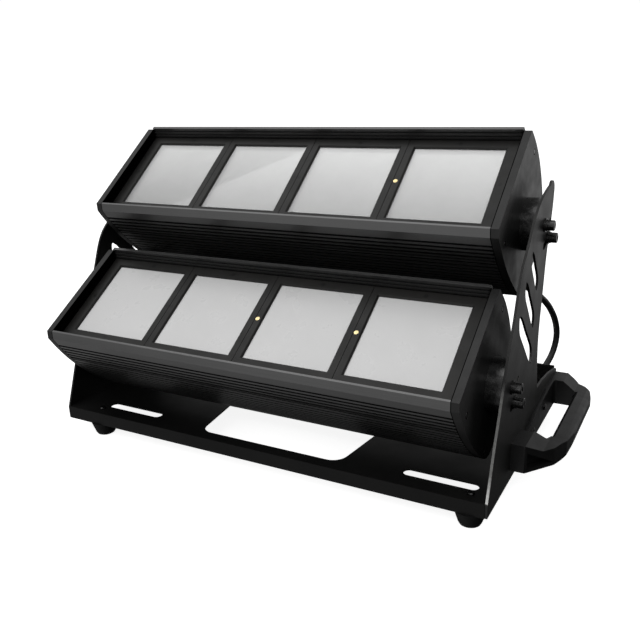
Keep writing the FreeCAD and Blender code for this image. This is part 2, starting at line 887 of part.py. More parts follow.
def make_washers(tilt, lock_turn):
    """A flat washer and a spring washer under each of the four bolt heads."""
    solids = []
    for kind in ("pivot", "lock"):
        for place, outward in bolt_places(kind, tilt, lock_turn):
            face = place + outward * plate_thickness
            solids.append(ring(bolt_radius, washer_radius, face, outward, washer_thickness))
            top = face + outward * washer_thickness
            solids.append(ring(bolt_radius, spring_washer_radius, top, outward, spring_washer_thickness))
    return group(solids)


def head_gland_seat(side):
    """Where the head's gland sits on the head's back."""
    return Vector(side * (half_head - head_gland_end_inset - gland_flats / 2), head_gland_u, -head_depth)


def make_gland(seat, outward, wall):
    """A cable gland: thread and nut inside a wall, hexagon and domed clamp outside."""
    hexagonal = hexagon(gland_flats, seat, outward, gland_hex_length)
    dome_profile = [(0, 0), (gland_dome_radius, 0), (gland_dome_radius, gland_length * gland_dome_share),
                    (gland_tip_radius, gland_length), (0, gland_length)]
    dome = turned(dome_profile, seat, outward)
    thread = rod(gland_thread_radius, seat - outward * (wall + gland_nut_length), outward,
                 wall + gland_nut_length)
    nut = hexagon(gland_flats, seat - outward * (wall + gland_nut_length), outward, gland_nut_length)
    return dome.fuse([hexagonal, thread, nut]).removeSplitter()


def make_head_gland(side):
    """The head's gland, through the housing's back wall."""
    return make_gland(head_gland_seat(side), Z_AXIS * -1, head_depth - cavity_floor)


def place_head(shape, tilt, back, rise):
    """Move a piece from the head's own plane to its place in the light."""
    turn = FreeCAD.Rotation(X_AXIS, tilt)
    pivot = turn.multVec(Vector(0, pivot_u, pivot_v))
    target = from_base(back, rise)
    moved = shape.copy()
    moved.Placement = FreeCAD.Placement(target - pivot, turn).multiply(shape.Placement)
    return moved


def build_head(name, tilt, back, rise, lock_turn, gland_side):
    """Write every node of one head."""
    pieces = {
        "housing": make_housing(),
        "left_cap": make_cap(-1),
        "right_cap": make_cap(1),
        "cap_screws": make_cap_screws(),
        "window_bezels": make_bezels(),
        "bezel_screws": make_bezel_screws(),
        "window_panes": make_panes(),
        "pane_gaskets": make_gaskets(),
        "window_carrier": make_carrier(),
        "reflectors": make_reflectors(),
        "led_modules": make_led_modules(),
        "heat_plate": make_heat_plate(),
        "driver": make_driver(),
        "hubs": make_hubs(tilt, lock_turn),
        "hub_screws": make_hub_screws(),
        "pivot_bolts": make_bolts("pivot", tilt, lock_turn),
        "lock_bolts": make_bolts("lock", tilt, lock_turn),
        "washers": make_washers(tilt, lock_turn),
        "lead_gland": make_head_gland(1),
    }
    if gland_side < 0:
        for piece in ("housing", "lead_gland"):
            pieces[piece] = pieces[piece].mirror(ORIGIN, X_AXIS)
    for piece, shape in pieces.items():
        save(place_head(shape, tilt, back, rise), name + "_" + piece)


# Side plates

def arc_slot(pivot):
    """The curved slot that a lock bolt runs in, through a plate at x = 0."""
    low = math.radians(slot_low_turn)
    high = math.radians(slot_high_turn)
    half = bolt_radius + slot_clearance
    inner = lock_circle - half
    outer = lock_circle + half

    def at(radius, turn):
        return pivot + Vector(0, radius * math.cos(turn), radius * math.sin(turn))

    middle = (low + high) / 2
    cap = half / lock_circle
    edges = [Part.Arc(at(outer, low), at(outer, middle), at(outer, high)).toShape(),
             Part.Arc(at(outer, high), at(lock_circle, high + cap), at(inner, high)).toShape(),
             Part.Arc(at(inner, high), at(inner, middle), at(inner, low)).toShape(),
             Part.Arc(at(inner, low), at(lock_circle, low - cap), at(outer, low)).toShape()]
    return Part.Face(Part.Wire(edges))


def from_plate(shares):
    """A place in the side view from shares of the plate's depth and height."""
    return from_base(shares[0] * base_depth, shares[1] * plate_height)


def leaf(top_shares, bottom_shares, width):
    """A leaf-shaped vent between two points."""
    start = from_plate(top_shares)
    end = from_plate(bottom_shares)
    along = end - start
    across = X_AXIS.cross(along).normalize() * width
    left = [start + along * share + across * half for share, half in leaf_shares]
    right = [end - along * share - across * half for share, half in leaf_shares]
    curve = Part.BSplineCurve()
    curve.interpolate([start] + left + [end] + right, True)
    return Part.Face(Part.Wire([curve.toShape()]))


def smooth(points):
    """A smooth edge through points."""
    curve = Part.BSplineCurve()
    curve.interpolate(points)
    return curve.toShape()


def plate_outline():
    """The side plate's outline as one face."""
    brow = from_plate(plate_brow_share)
    toe = [from_base(toe_inset, 0), from_base(toe_inset, toe_height), brow]
    front = [brow] + [from_plate(shares) for shares in plate_front_shares]
    rear = [from_plate(shares) for shares in plate_rear_shares]
    heel = [rear[-1]] + [from_plate(shares) for shares in plate_shoulder_shares]
    heel.append(from_base(base_depth - plate_heel_run, rear_panel_height))
    heel.append(from_base(base_depth - plate_heel_setback, rear_panel_height - plate_heel_drop))
    heel.append(from_base(base_depth - plate_heel_setback, 0))
    edges = [Part.makeLine(toe[0], toe[1]), Part.makeLine(toe[1], toe[2])]
    edges.append(smooth(front))
    edges.append(Part.Arc(front[-1], from_plate(plate_tip_share), rear[0]).toShape())
    edges.append(smooth(rear))
    for start, end in zip(heel[:-1], heel[1:]):
        edges.append(Part.makeLine(start, end))
    edges.append(Part.makeLine(heel[-1], toe[0]))
    return Part.Face(Part.Wire(edges))


def plate_screw_places():
    """Where the base's side flanges are screwed to a side plate."""
    places = []
    span = base_depth - 2 * plate_screw_margin
    for index in range(plate_screw_count):
        back = plate_screw_margin + span * index / (plate_screw_count - 1)
        places.append(from_base(back, joint_screw_height))
    return places


def make_side_plate(side):
    """A side plate with its vents, arc slots, pivot holes and handle holes."""
    tools = [leaf(*vent) for vent in zip(leaf_top_shares, leaf_bottom_shares, leaf_widths)]
    for back, rise in ((upper_pivot_back, upper_pivot_rise), (lower_pivot_back, lower_pivot_rise)):
        tools.append(arc_slot(from_base(back, rise)))
    face = plate_outline().cut(tools)
    plate = face.extrude(Vector(plate_thickness, 0, 0))
    cuts = []
    for back, rise in ((upper_pivot_back, upper_pivot_rise), (lower_pivot_back, lower_pivot_rise)):
        cuts.append(rod(bolt_radius + running_gap, from_base(back, rise) - X_AXIS * overrun, X_AXIS,
                        plate_thickness + 2 * overrun))
    for place in handle_screw_places():
        cuts.append(rod(handle_screw_radius, place - X_AXIS * overrun, X_AXIS,
                        plate_thickness + 2 * overrun))
    for place in plate_screw_places():
        cuts.append(rod(joint_screw_radius, place - X_AXIS * overrun, X_AXIS, joint_screw_depth + overrun))
    plate = plate.cut(cuts)
    plate.translate(Vector(plate_inner, 0, 0))
    if side < 0:
        plate = plate.mirror(ORIGIN, X_AXIS)
    return plate


# Base pan, rear panel and feet

def stadium(centre, length, width, low, high):
    """An upright slot cutter with round ends, long in X."""
    half = (length - width) / 2
    middle = block(Vector(centre.x - half, centre.y - width / 2, low),
                   Vector(centre.x + half, centre.y + width / 2, high))
    ends = []
    for side in (-1, 1):
        ends.append(rod(width / 2, Vector(centre.x + side * half, centre.y, low), Z_AXIS, high - low))
    return middle.fuse(ends).removeSplitter()


def foot_places():
    """The four feet's centres on the base's underside."""
    places = []
    for side in (-1, 1):
        x = foot_shift + side * foot_spread
        places.append(Vector(x, base_front + foot_inset, base_bottom))
        places.append(Vector(x, base_rear - foot_inset, base_bottom))
    return places


def base_cutout():
    """The large opening in the base's top: straight front edge, sides that spread, round corners."""
    front = base_front + cutout_front_inset
    rear = front + cutout_depth
    half_front = cutout_front_length / 2
    half_rear = cutout_rear_length / 2
    low = base_top - sheet_thickness - overrun
    corners = [Vector(feature_shift - half_front, front, low),
               Vector(feature_shift + half_front, front, low),
               Vector(feature_shift + half_rear, rear, low),
               Vector(feature_shift - half_rear, rear, low)]
    solid = prism(corners, Vector(0, 0, sheet_thickness + 2 * overrun))
    upright = []
    for edge in solid.Edges:
        start = edge.Vertexes[0].Point
        end = edge.Vertexes[1].Point
        if abs(start.z - end.z) > sheet_thickness:
            upright.append(edge)
    return solid.makeFillet(cutout_corner, upright)


def make_base_pan():
    """A folded tray, open below: top, four flanges, and a lip under the front and rear flanges."""
    outer = block(Vector(-plate_inner, base_front, base_bottom), Vector(plate_inner, panel_inner, base_top))
    under = block(Vector(-plate_inner + sheet_thickness, base_front + sheet_thickness,
                         base_bottom + sheet_thickness),
                  Vector(plate_inner - sheet_thickness, panel_inner - sheet_thickness,
                         base_top - sheet_thickness))
    mouth = block(Vector(-plate_inner + sheet_thickness, base_front + lip_depth, base_bottom - overrun),
                  Vector(plate_inner - sheet_thickness, panel_inner - lip_depth, base_bottom + 2 * overrun))
    cuts = [under, mouth, base_cutout()]
    for side in (-1, 1):
        centre = Vector(feature_shift + side * slot_spread, base_front + slot_inset, 0)
        cuts.append(stadium(centre, slot_length, slot_width, base_top - sheet_thickness - overrun,
                            base_top + overrun))
    for place in foot_places():
        cuts.append(rod(foot_screw_radius, place - Z_AXIS * overrun, Z_AXIS, flange_height + 2 * overrun))
    for place in plate_screw_places():
        for side in (-1, 1):
            start = Vector(side * (plate_inner + overrun), place.y, place.z)
            cuts.append(rod(joint_screw_radius, start, X_AXIS * -side, sheet_thickness + 2 * overrun))
    for place in panel_screw_places():
        cuts.append(rod(joint_screw_radius, place + Y_AXIS * overrun, Y_AXIS * -1,
                        2 * sheet_thickness + 2 * overrun))
    return outer.cut(cuts)


def panel_screw_places():
    """Where the rear panel is screwed to the pan, on the panel's outer face."""
    places = []
    span = 2 * (plate_inner - panel_screw_margin)
    for index in range(panel_screw_count):
        x = -span / 2 + span * index / (panel_screw_count - 1)
        places.append(Vector(x, base_rear, base_bottom + joint_screw_height))
    return places


def make_plate_screws():
    """Screws from under the pan through its side flanges into the side plates."""
    solids = []
    for side in (-1, 1):
        for place in plate_screw_places():
            seat = Vector(side * (plate_inner - sheet_thickness), place.y, place.z)
            solids.append(cap_screw(seat, X_AXIS * -side, joint_screw_radius, joint_screw_head_radius,
                                    joint_screw_head_height, sheet_thickness + joint_screw_depth))
    return group(solids)


def make_panel_screws():
    """Screws that hold the rear panel."""
    solids = []
    for place in panel_screw_places():
        solids.append(cap_screw(place, Y_AXIS, joint_screw_radius, joint_screw_head_radius,
                                joint_screw_head_height, 3 * sheet_thickness))
    return group(solids)


def make_feet():
    """Four tapered rubber feet."""
    solids = []
    for place in foot_places():
        edge = foot_edge * foot_edge_share
        profile = [(foot_screw_radius, 0), (foot_top_radius, 0),
                   (foot_bottom_radius, -foot_height + foot_edge),
                   (foot_bottom_radius - edge, -foot_height + edge),
                   (foot_bottom_radius - foot_edge, -foot_height), (0, -foot_height),
                   (0, -foot_screw_depth), (foot_screw_radius, -foot_screw_depth)]
        solids.append(turned(profile, place, Z_AXIS))
    return group(solids)


def make_foot_screws():
    """The feet's screws, with their heads on the base's top."""
    solids = []
    for place in foot_places():
        seat = Vector(place.x, place.y, base_top)
        solids.append(cap_screw(seat, Z_AXIS, foot_screw_radius, foot_screw_head_radius,
                                foot_screw_head_height, flange_height + foot_screw_depth))
    return group(solids)


def connector_places():
    """Middles of the four connectors on the panel's outer face: power, data, data, power."""
    places = []
    for index, kind in enumerate(connector_kinds):
        x = (index - (len(connector_kinds) - 1) / 2) * connector_spread
        places.append((kind, Vector(x, base_rear, base_bottom + connector_rise)))
    return places


def connector_size(kind):
    """Half flange and body radius of a connector."""
    if kind == "power":
        return power_flange / 2, power_radius
    return data_flange / 2, data_radius


def connector_screw_places(kind, place):
    """Two screws in opposite corners of a connector's flange."""
    half = connector_size(kind)[0] - connector_screw_inset
    face = Y_AXIS * connector_flange_thickness
    return [place + face + Vector(-half, 0, half), place + face + Vector(half, 0, -half)]


def panel_gland_places():
    """The two lead glands on the rear panel's outer face."""
    return [Vector(side * panel_gland_spread, base_rear, base_bottom + panel_gland_rise) for side in (-1, 1)]


def make_rear_panel():
    """The upright rear panel between the side plates."""
    panel = block(Vector(-plate_inner, panel_inner, base_bottom),
                  Vector(plate_inner, base_rear, base_bottom + rear_panel_height))
    cuts = []
    through = sheet_thickness + 2 * overrun
    for kind, place in connector_places():
        cuts.append(rod(connector_size(kind)[1], place + Y_AXIS * overrun, Y_AXIS * -1, through))
        for screw in connector_screw_places(kind, place):
            cuts.append(rod(connector_screw_radius, screw + Y_AXIS * overrun, Y_AXIS * -1,
                            through + overrun))
    for place in panel_gland_places():
        cuts.append(rod(gland_thread_radius, place + Y_AXIS * overrun, Y_AXIS * -1, through))
    for place in panel_screw_places():
        cuts.append(rod(joint_screw_radius, place + Y_AXIS * overrun, Y_AXIS * -1, through))
    return panel.cut(cuts)


def make_connectors(kind_wanted):
    """Panel connectors: flange outside, body inside, contacts in a round well."""
    solids = []
    for kind, place in connector_places():
        if kind != kind_wanted:
            continue
        half, radius = connector_size(kind)
        flange = rounded_box(Vector(place.x - half, place.y, place.z - half),
                             Vector(place.x + half, place.y + connector_flange_thickness, place.z + half),
                             connector_corner, Y_AXIS)
        body = rod(radius, place - Y_AXIS * connector_body_depth, Y_AXIS, connector_body_depth)
        mouth = place + Y_AXIS * connector_flange_thickness
        well = rod(radius - connector_well_wall, mouth - Y_AXIS * connector_well_depth, Y_AXIS,
                   connector_well_depth + overrun)
        holes = [well]
        for screw in connector_screw_places(kind, place):
            holes.append(rod(connector_screw_radius, screw + Y_AXIS * overrun, Y_AXIS * -1, 3 * overrun))
        shell = flange.fuse(body).removeSplitter().cut(holes)
        contacts = []
        floor = mouth - Y_AXIS * connector_well_depth
        count = power_blade_count if kind == "power" else data_pin_count
        for index in range(count):
            turn = 2 * math.pi * index / count + math.pi / 2
            way = Vector(math.cos(turn), 0, math.sin(turn))
            if kind == "power":
                centre = floor + way * power_blade_circle
                step = Vector(power_blade_size / 2, 0, power_blade_size)
                contacts.append(block(centre - step, centre + step + Y_AXIS * contact_height))
            else:
                contacts.append(rod(data_pin_radius, floor + way * data_pin_circle, Y_AXIS, contact_height))
        solids.append(shell.fuse(contacts))
    return group(solids)


def make_connector_screws():
    """Eight small screws in the connectors' flanges."""
    solids = []
    for kind, place in connector_places():
        for screw in connector_screw_places(kind, place):
            solids.append(cap_screw(screw, Y_AXIS, connector_screw_radius, connector_screw_head_radius,
                                    connector_screw_head_height, connector_screw_depth))
    return group(solids)


def make_junction_box():
    """A folded cover behind the rear panel, open below and at the back, with a foot flange in front."""
    half = box_length / 2
    front = panel_inner - box_depth
    outer = block(Vector(-half, front, base_top), Vector(half, panel_inner, base_top + box_height))
    inner = block(Vector(-half + box_sheet, front + box_sheet, base_top - overrun),
                  Vector(half - box_sheet, panel_inner + overrun, base_top + box_height - box_sheet))
    flange = block(Vector(-half, front - box_flange, base_top), Vector(half, front + box_sheet,
                                                                       base_top + box_sheet))
    return outer.cut(inner).fuse(flange).removeSplitter()


def make_terminal_block():
    """The terminal block inside the junction box, with a screw well for each way."""
    half = terminal_length / 2
    middle = panel_inner - box_depth + box_sheet + terminal_setback + terminal_depth / 2
    body = block(Vector(-half, middle - terminal_depth / 2, base_top),
                 Vector(half, middle + terminal_depth / 2, base_top + terminal_height))
    cuts = []
    pitch = terminal_length / terminal_way_count
    for index in range(terminal_way_count):
        x = -half + pitch * (2 * index + 1) / 2
        for row in (-1, 1):
            top = Vector(x, middle + row * terminal_depth / 4, base_top + terminal_height)
            cuts.append(rod(terminal_way_radius, top - Z_AXIS * terminal_way_depth, Z_AXIS,
                            terminal_way_depth + overrun))
    return body.cut(cuts)


def make_panel_glands():
    """The two glands through the rear panel."""
    return group([make_gland(place, Y_AXIS, sheet_thickness) for place in panel_gland_places()])


# Handles

def handle_screw_places():
    """The handle's two screws, in the side view, along and up its opening."""
    start = handle_inset + gap_front_share * handle_length
    span = (gap_rear_share - gap_front_share) * handle_length
    places = []
    for along, up in handle_screw_shares:
        places.append(from_base(start + along * span, handle_bottom + up * root_height))
    return places


def handle_point(out_share, along_share):
    """A place in the handle's plan at its underside."""
    along = base_front + handle_inset + along_share * handle_length
    return Vector(plate_outer + out_share * handle_reach, along, base_bottom + handle_bottom)


def upright_edges(solid, low, high):
    """A solid's upright edges between two places along X."""
    return [edge for edge in solid.Edges
            if edge.BoundBox.ZLength > root_height * parallel_share and low < edge.BoundBox.XMin < high]


def make_bow():
    """The handle's bow: a bent bar that thickens into two roots, flat below, with a gap for the hand."""
    corner = handle_point(root_reach_share, 0)
    points = [handle_point(0, 0), corner] + [handle_point(*share) for share in bow_shares]
    points.append(handle_point(0, root_end_share))
    bow = prism(points, Z_AXIS * root_height)
    low = base_bottom + handle_bottom
    out = plate_outer + handle_reach
    bow = bow.makeFillet(root_rounding, upright_edges(bow, corner.x - overrun, corner.x + overrun))
    bow = bow.makeFillet(bow_rounding, upright_edges(bow, corner.x + overrun, out + overrun))
    near = out - grip_edge
    bulge = grip_edge * math.sqrt(1 / 2)
    low_centre = low + grip_edge
    high_centre = low + grip_height - grip_edge
    top_corner = Vector(corner.x, 0, low + root_height)
    edges = [Part.makeLine(Vector(plate_outer, 0, low), Vector(near, 0, low)),
             Part.Arc(Vector(near, 0, low), Vector(near + bulge, 0, low_centre - bulge),
                      Vector(out, 0, low_centre)).toShape(),
             Part.makeLine(Vector(out, 0, low_centre), Vector(out, 0, high_centre)),
             Part.Arc(Vector(out, 0, high_centre), Vector(near + bulge, 0, high_centre + bulge),
                      Vector(near, 0, low + grip_height)).toShape()]
    inner = handle_point(grip_inner_share, 0).x
    corners = [Vector(near, 0, low + grip_height), Vector(inner, 0, low + grip_height), top_corner,
               Vector(plate_outer, 0, low + root_height), Vector(plate_outer, 0, low)]
    for start, end in zip(corners[:-1], corners[1:]):
        edges.append(Part.makeLine(start, end))
    section = Part.Face(Part.Wire(edges)).extrude(Y_AXIS * (handle_length + 2 * overrun))
    section.translate(Y_AXIS * (base_front + handle_inset - overrun))
    return bow.common(section)


def make_gap():
    """The cutter for the hand's gap."""
    near = plate_outer + handle_strap
    first = handle_point(0, gap_front_share)
    last = handle_point(0, gap_rear_share)
    points = [Vector(near, first.y, first.z), handle_point(*gap_bend_share),
              handle_point(grip_inner_share, gap_side_share), handle_point(grip_inner_share, gap_rear_share),
              Vector(near, last.y, last.z)]
    gap = prism([point - Z_AXIS * overrun for point in points], Z_AXIS * (root_height + 2 * overrun))
    gap = gap.makeFillet(gap_rounding, upright_edges(gap, near - overrun, plate_outer + handle_reach))
    inner = handle_point(grip_inner_share, gap_side_share)
    flares = []
    for level, way in ((inner.z, 1), (inner.z + grip_height, -1)):
        corner = Vector(inner.x - overrun, inner.y, level - way * overrun)
        flare = prism([corner, corner + X_AXIS * (gap_edge + 2 * overrun),
                       corner + Z_AXIS * way * (gap_edge + 2 * overrun)],
                      Y_AXIS * ((gap_rear_share - gap_side_share) * handle_length))
        flares.append(flare)
    return gap.fuse(flares)


def make_pocket():
    """The cutter for the three-cornered pocket in the front leg's face."""
    start = handle_point(root_reach_share, 0)
    run = handle_point(*bow_shares[0]) - start
    inward = Z_AXIS.cross(run).normalize()
    points = []
    for along, up in pocket_shares:
        points.append(start + run * along + Z_AXIS * (pocket_rim + up * (root_height - 2 * pocket_rim)))
    pocket = prism(points, inward * (pocket_depth + overrun))
    pocket.translate(inward * -overrun)
    return pocket


def make_handle(side):
    """A moulded carrying handle: a strap with a waist on the plate, and the bow."""
    low = base_bottom + handle_bottom
    top = low + root_height
    first = handle_point(0, gap_front_share).y
    last = handle_point(0, gap_rear_share).y
    dip = []
    for along, deep in strap_waist_shares:
        dip.append(Vector(plate_outer - overrun, first + along * (last - first), top - deep * root_height))
    above = [dip[-1] + Z_AXIS * overrun, dip[0] + Z_AXIS * overrun]
    edges = [smooth(dip), Part.makeLine(dip[-1], above[0]), Part.makeLine(above[0], above[1]),
             Part.makeLine(above[1], dip[0])]
    cuts = [Part.Face(Part.Wire(edges)).extrude(Vector(handle_strap + 2 * overrun, 0, 0)), make_pocket()]
    for place in handle_screw_places():
        cuts.append(rod(handle_screw_radius, Vector(plate_outer - overrun, place.y, place.z), X_AXIS,
                        handle_strap + 2 * overrun))
    body = make_bow().cut([make_gap()] + cuts)
    if side < 0:
        body = body.mirror(ORIGIN, X_AXIS)
    return body


def make_handle_screws():
    """Four screws through the handles' straps and the side plates."""
    solids = []
    for side in (-1, 1):
        for place in handle_screw_places():
            seat = Vector(side * (plate_outer + handle_strap), place.y, place.z)
            solids.append(cap_screw(seat, X_AXIS * side, handle_screw_radius, handle_screw_head_radius,
                                    handle_screw_head_height,
                                    handle_strap + plate_thickness + handle_nut_height))
    return group(solids)


def make_handle_nuts():
    """Four nuts inside the side plates."""
    solids = []
    for side in (-1, 1):
        for place in handle_screw_places():
            start = Vector(side * plate_inner, place.y, place.z)
            nut = hexagon(2 * handle_nut_radius, start, X_AXIS * -side, handle_nut_height)
            solids.append(nut.cut(rod(handle_screw_radius, start, X_AXIS * -side, handle_nut_height)))
    return group(solids)


# The upper head's cable

def head_point(u, v, x):
    """A point of the upper head, placed in the light."""
    turn = FreeCAD.Rotation(X_AXIS, upper_tilt)
    pivot = turn.multVec(Vector(0, pivot_u, pivot_v))
    return from_base(upper_pivot_back, upper_pivot_rise) - pivot + turn.multVec(Vector(x, u, v))


cable_middle = [(272.4, 133.0, 220.0), (276.5, 157.0, 200.0), (286.5, 186.0, 182.0), (293.5, 216.0, 162.0),
                (297.5, 240.0, 141.0), (300.5, 259.0, 119.0), (302.5, 266.0, 93.4), (299.0, 257.0, 67.0),
                (292.5, 233.5, 51.0)]


def cable_route():
    """The cable's corner points: out of the head's gland, down behind the light, into the rear panel."""
    seat = head_gland_seat(1)
    first = head_point(seat.y, seat.z - gland_length - gland_release_gap, seat.x)
    last = panel_gland_places()[1] + Y_AXIS * gland_length
    return [first] + [Vector(*place) for place in cable_middle] + [last]


def make_cable():
    """The cable as straight runs joined by tangent arcs, with its radii printed."""
    points = cable_route()
    edges = []
    last = points[0]
    radii = []
    for before, corner, after in zip(points[:-2], points[1:-1], points[2:]):
        into = (corner - before).normalize()
        out = (after - corner).normalize()
        half_turn = into.getAngle(out) / 2
        shorter = min((corner - before).Length, (after - corner).Length)
        setback = cable_arc_share * shorter
        radii.append(setback / math.tan(half_turn))
        start = corner - into * setback
        end = corner + out * setback
        bisector = (out - into).normalize()
        bulge = radii[-1] * (1 / math.cos(half_turn) - 1)
        edges.append(Part.LineSegment(last, start).toShape())
        edges.append(Part.Arc(start, corner + bisector * bulge, end).toShape())
        last = end
    edges.append(Part.LineSegment(last, points[-1]).toShape())
    path = Part.Wire(edges)
    circle = Part.Wire([Part.makeCircle(cable_radius, points[0], points[1] - points[0])])
    tube = path.makePipeShell([circle], True, True)
    ideal = math.pi * cable_radius ** 2 * path.Length
    print("cable length", round(path.Length, 1), "radii", [round(radius, 1) for radius in radii])
    print("cable volume", round(tube.Volume / ideal, 4), "of its section times its length")
    return tube


# Write the root's nodes, then the heads

save(make_base_pan(), "base_pan")
save(make_rear_panel(), "rear_panel")
save(make_side_plate(-1), "left_side_plate")
save(make_side_plate(1), "right_side_plate")
save(make_plate_screws(), "plate_screws")
save(make_panel_screws(), "panel_screws")
save(make_feet(), "rubber_feet")
save(make_foot_screws(), "foot_screws")
save(make_handle(-1), "left_handle")
save(make_handle(1), "right_handle")
save(make_handle_screws(), "handle_screws")
save(make_handle_nuts(), "handle_nuts")
save(make_junction_box(), "junction_box")
save(make_terminal_block(), "terminal_block")
save(make_connectors("power"), "power_sockets")
save(make_connectors("data"), "data_sockets")
save(make_connector_screws(), "socket_screws")
save(make_panel_glands(), "panel_glands")
save(make_cable(), "upper_head_cable")
build_head("upper", upper_tilt, upper_pivot_back, upper_pivot_rise, upper_lock_turn, 1)
build_head("lower", lower_tilt, lower_pivot_back, lower_pivot_rise, lower_lock_turn, -1)
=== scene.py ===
import json
import math

import bmesh
import bpy
from mathutils import Matrix, Vector


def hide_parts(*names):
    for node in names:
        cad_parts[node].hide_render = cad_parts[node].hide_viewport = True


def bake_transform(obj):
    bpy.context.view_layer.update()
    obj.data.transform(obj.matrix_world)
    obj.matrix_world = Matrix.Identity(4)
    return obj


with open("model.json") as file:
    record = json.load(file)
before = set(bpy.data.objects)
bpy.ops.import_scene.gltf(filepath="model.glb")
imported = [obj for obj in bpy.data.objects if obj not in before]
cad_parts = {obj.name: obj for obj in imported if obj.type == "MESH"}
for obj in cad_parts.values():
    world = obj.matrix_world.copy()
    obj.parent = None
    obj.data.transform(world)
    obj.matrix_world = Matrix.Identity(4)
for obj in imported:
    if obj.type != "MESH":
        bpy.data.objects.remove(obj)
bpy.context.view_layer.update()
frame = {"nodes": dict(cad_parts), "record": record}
nodes = frame["nodes"]
slot_of = {row["node"]: row["material_slot"] for row in frame["record"]["subparts"]}
scene = bpy.context.scene
scene.view_settings.view_transform = "Standard"


# Camera at the photograph's viewing angle

camera_place = (0.51924, -0.88598, 0.50142)
camera_yaw, camera_pitch, camera_roll = 0.508684, 0.318236, -0.037927
sensor_width = 36
picture_width = 640
focal_length = 752.546


def make_camera():
    """The camera solved from the windows' corners; lengths in pixels are focal_length and picture_width."""
    yaw, pitch, roll = camera_yaw, camera_pitch, camera_roll
    forward = Vector((-math.sin(yaw) * math.cos(pitch), math.cos(yaw) * math.cos(pitch), -math.sin(pitch)))
    right = Vector((math.cos(yaw), math.sin(yaw), 0))
    up = right.cross(forward)
    x = math.cos(roll) * right + math.sin(roll) * up
    y = -math.sin(roll) * right + math.cos(roll) * up
    data = bpy.data.cameras.new("camera")
    data.sensor_width = sensor_width
    data.lens = sensor_width * focal_length / picture_width
    cam = bpy.data.objects.new("camera", data)
    scene.collection.objects.link(cam)
    place = Matrix((x, y, -forward)).transposed().to_4x4()
    place.translation = camera_place
    cam.matrix_world = place
    scene.camera = cam


make_camera()


# Materials

def grey(level):
    return level, level, level


class Look:
    """A node material with its Principled shader and a few helpers."""

    def __init__(self, name):
        self.mat = bpy.data.materials.new(name)
        self.mat.use_nodes = True
        self.tree = self.mat.node_tree
        self.tree.nodes.clear()
        self.out = self.add("ShaderNodeOutputMaterial")
        self.shader = self.add("ShaderNodeBsdfPrincipled")
        self.link(self.shader.outputs[0], self.out.inputs[0])
        self.place = self.add("ShaderNodeTexCoord").outputs["Object"]

    def add(self, kind):
        return self.tree.nodes.new(kind)

    def link(self, a, b):
        self.tree.links.new(a, b)

    def set(self, **values):
        for name, value in values.items():
            self.shader.inputs[name.replace("_", " ")].default_value = value

    def stretched(self, scale):
        """Object coordinates scaled along each axis."""
        node = self.add("ShaderNodeMapping")
        node.inputs["Scale"].default_value = scale
        self.link(self.place, node.inputs["Vector"])
        return node.outputs[0]

    def noise(self, size, detail=4.0, rough=0.55, scale=(1, 1, 1)):
        """Noise whose grain is about size metres."""
        node = self.add("ShaderNodeTexNoise")
        node.inputs["Scale"].default_value = 1 / size
        node.inputs["Detail"].default_value = detail
        node.inputs["Roughness"].default_value = rough
        self.link(self.stretched(scale), node.inputs["Vector"])
        return node.outputs["Fac"]

    def ramp(self, value, stops):
        """A colour ramp from (place, colour) stops."""
        node = self.add("ShaderNodeValToRGB")
        found = node.color_ramp.elements
        for element, (at, colour) in zip(found, stops[:1] + stops[-1:]):
            element.position = at
            element.color = (*colour, 1)
        for at, colour in stops[1:-1]:
            found.new(at).color = (*colour, 1)
        self.link(value, node.inputs[0])
        return node.outputs[0]

    def spread(self, value, low, high, start=0.3, end=0.7):
        """A number from low to high as the value goes from start to end."""
        node = self.add("ShaderNodeMapRange")
        for name, number in (("From Min", start), ("From Max", end), ("To Min", low), ("To Max", high)):
            node.inputs[name].default_value = number
        self.link(value, node.inputs["Value"])
        return node.outputs[0]

    def bump(self, value, strength, height, normal=None):
        node = self.add("ShaderNodeBump")
        node.inputs["Strength"].default_value = strength
        node.inputs["Distance"].default_value = height
        self.link(value, node.inputs["Height"])
        if normal is not None:
            self.link(normal, node.inputs["Normal"])
        return node.outputs[0]

    def math(self, operation, first, second):
        """A Math node of two sockets or numbers."""
        node = self.add("ShaderNodeMath")
        node.operation = operation
        for socket, value in zip(node.inputs, (first, second)):
            if isinstance(value, (int, float)):
                socket.default_value = value
            else:
                self.link(value, socket)
        return node.outputs[0]

    def parts(self, vector):
        """The X, Y and Z of a vector socket."""
        node = self.add("ShaderNodeSeparateXYZ")
        self.link(vector, node.inputs[0])
        return node.outputs

    def blend(self, share, first, second):
        """A mix of two colours, each a socket or a colour."""
        node = self.add("ShaderNodeMix")
        node.data_type = "RGBA"
        self.link(share, node.inputs["Factor"])
        for name, value in (("A", first), ("B", second)):
            if isinstance(value, tuple):
                node.inputs[name].default_value = (*value, 1)
            else:
                self.link(value, node.inputs[name])
        return node.outputs["Result"]

    def base(self, colour):
        self.link(colour, self.shader.inputs["Base Color"])

    def rough(self, value):
        self.link(value, self.shader.inputs["Roughness"])

    def normal(self, value):
        self.link(value, self.shader.inputs["Normal"])


def coated(name, dark, light, patch, rough, grain, depth, **values):
    """A painted or moulded finish: slow colour patches, uneven gloss and a fine grain."""
    look = Look(name)
    look.set(**values)
    slow = look.noise(patch)
    look.base(look.ramp(slow, [(0.35, dark), (0.65, light)]))
    look.rough(look.spread(look.noise(patch / 3), *rough))
    look.normal(look.bump(look.noise(grain, detail=2), 1.0, depth))
    return look.mat


